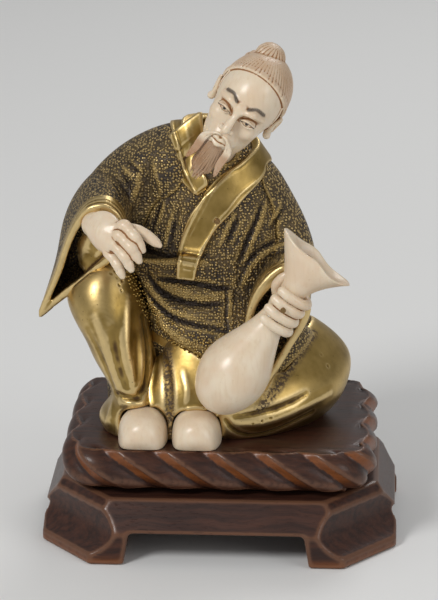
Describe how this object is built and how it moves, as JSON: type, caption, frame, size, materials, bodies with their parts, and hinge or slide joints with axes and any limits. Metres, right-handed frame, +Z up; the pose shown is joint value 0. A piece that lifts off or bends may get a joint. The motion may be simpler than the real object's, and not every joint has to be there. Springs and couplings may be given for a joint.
{
  "type": "okimono carving",
  "caption": "Seated robed sage with a flask in one fist and a raised knee, ivory head and hands in a metal robe, on a scooped hardwood stand with a rope-twist edge.",
  "frame": {"origin": "floor level, under the middle of the stand", "axes": "+X to the viewer's right, +Y to the back, +Z up"},
  "size_m": [0.1081, 0.088, 0.1517],
  "materials": {
    "rosewood": "carved and polished dark reddish-brown hardwood, worn lighter on its ridges",
    "screw_steel": "plain",
    "dark_bronze": "dark patinated, pebbled, with gilt showing on the high points",
    "gilt_bronze": "gilt, burnished and worn, with dark brown in the recesses",
    "copper_pin": "plain",
    "ivory": "polished ivory with brown stain in the cuts"
  },
  "bodies": {
    "stand": {"plinth": "rosewood", "rope_slab": "rosewood", "stand_screws": "screw_steel"},
    "figure": {"locating_pegs": "gilt_bronze", "coat": "dark_bronze", "under_lapel": "gilt_bronze", "over_lapel": "gilt_bronze", "lapel_pin": "copper_pin", "right_sleeve": "dark_bronze", "left_sleeve": "dark_bronze", "right_leg": "gilt_bronze", "left_leg": "gilt_bronze", "front_skirt": "gilt_bronze", "right_foot": "ivory", "left_foot": "ivory", "head": "ivory", "right_hand": "ivory", "left_hand": "ivory", "flask": "ivory", "finger_pin": "copper_pin"}
  },
  "joints": [
    {"name": "figure_lift", "type": "slide", "parent": "stand", "child": "figure", "axis": [0, 0, 1], "range_m": [0, 0.03]}
  ]
}
